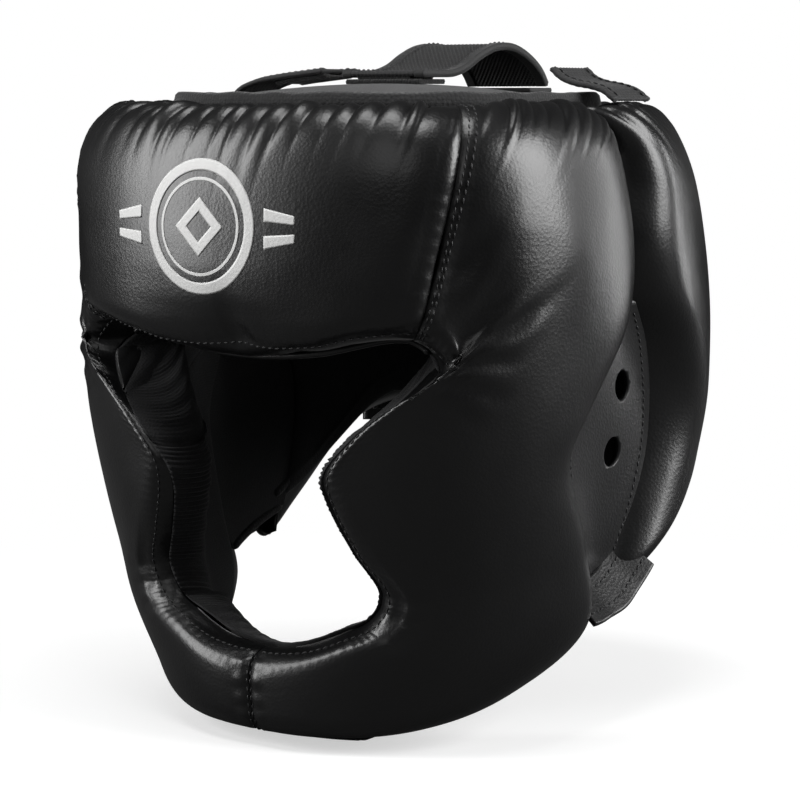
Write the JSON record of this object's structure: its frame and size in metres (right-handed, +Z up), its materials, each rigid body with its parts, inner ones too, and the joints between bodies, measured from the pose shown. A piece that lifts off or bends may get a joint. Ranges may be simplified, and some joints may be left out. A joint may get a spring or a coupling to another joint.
{
  "type": "boxing headgear",
  "caption": "Full-face padded boxing headgear: forehead, cheek and chin pads round one face opening, rear wings that open, a nape closing strap and a crown with an adjusting strap.",
  "frame": {"origin": "middle of the bounding box's underside, in the plane of the flat under the chin pad", "axes": "+Z up through the crown; the wearer looks along -Y; +X is the wearer's left"},
  "size_m": [0.2258, 0.2312, 0.2668],
  "materials": {
    "leather": "gloss",
    "foam": "matte",
    "lining": "matte",
    "webbing": "matte",
    "hook_and_loop": "matte"
  },
  "bodies": {
    "front_shell": {"forehead_cover": "leather", "forehead_foam": "foam", "forehead_liner": "lining", "brow_piping": "leather", "chin_foam": "foam", "chin_liner": "lining", "left_side_cover": "leather", "left_temple_foam": "foam", "left_cheek_foam": "foam", "left_temple_liner": "lining", "left_cheek_liner": "lining", "left_ear_panel": "leather", "left_ear_lining": "lining", "right_side_cover": "leather", "right_temple_foam": "foam", "right_cheek_foam": "foam", "right_temple_liner": "lining", "right_cheek_liner": "lining", "right_ear_panel": "leather", "right_ear_lining": "lining", "crown_cap": "lining", "crown_binding": "webbing", "crown_loop_patch": "hook_and_loop", "crown_strap_anchor": "webbing"},
    "left_wing": {"left_rear_cover": "leather", "left_rear_foam": "foam", "left_rear_liner": "lining", "left_hem_band": "leather", "nape_strap_root": "leather"},
    "right_wing": {"right_rear_cover": "leather", "right_rear_foam": "foam", "right_rear_liner": "lining", "right_hem_band": "leather", "nape_loop_patch": "hook_and_loop"},
    "nape_strap": {"nape_strap": "leather", "nape_hook_patch": "hook_and_loop"},
    "crown_strap": {"crown_strap_mesh": "webbing", "crown_strap_binding_left": "webbing", "crown_strap_binding_right": "webbing", "crown_hook_patch": "hook_and_loop"},
    "left_tab": {"left_tab": "webbing"},
    "right_tab": {"right_tab": "webbing", "right_tab_hook": "hook_and_loop"}
  },
  "joints": [
    {"name": "left_wing_swing", "type": "hinge", "parent": "front_shell", "child": "left_wing", "pos_m": [0.104, 0.0035, 0.154], "axis": [0, 0, -1], "range_deg": [0, 25]},
    {"name": "right_wing_swing", "type": "hinge", "parent": "front_shell", "child": "right_wing", "pos_m": [-0.104, 0.0035, 0.154], "axis": [0, 0, 1], "range_deg": [0, 25]},
    {"name": "nape_strap_peel", "type": "hinge", "parent": "left_wing", "child": "nape_strap", "pos_m": [0.0158, 0.1154, 0.1205], "axis": [0, 0, -1], "range_deg": [0, 100]},
    {"name": "crown_strap_lift", "type": "hinge", "parent": "front_shell", "child": "crown_strap", "pos_m": [0, 0.0776, 0.2497], "axis": [-1, 0, 0], "range_deg": [0, 100]},
    {"name": "left_tab_lift", "type": "hinge", "parent": "left_wing", "child": "left_tab", "pos_m": [0.0935, 0.022, 0.2435], "axis": [0, 1, 0], "range_deg": [0, 70]},
    {"name": "right_tab_lift", "type": "hinge", "parent": "right_wing", "child": "right_tab", "pos_m": [-0.0935, 0.017, 0.2435], "axis": [0, -1, 0], "range_deg": [0, 110]}
  ],
  "couplings": [
    {"joint": "right_wing_swing", "follows": "left_wing_swing", "ratio": 1}
  ]
}
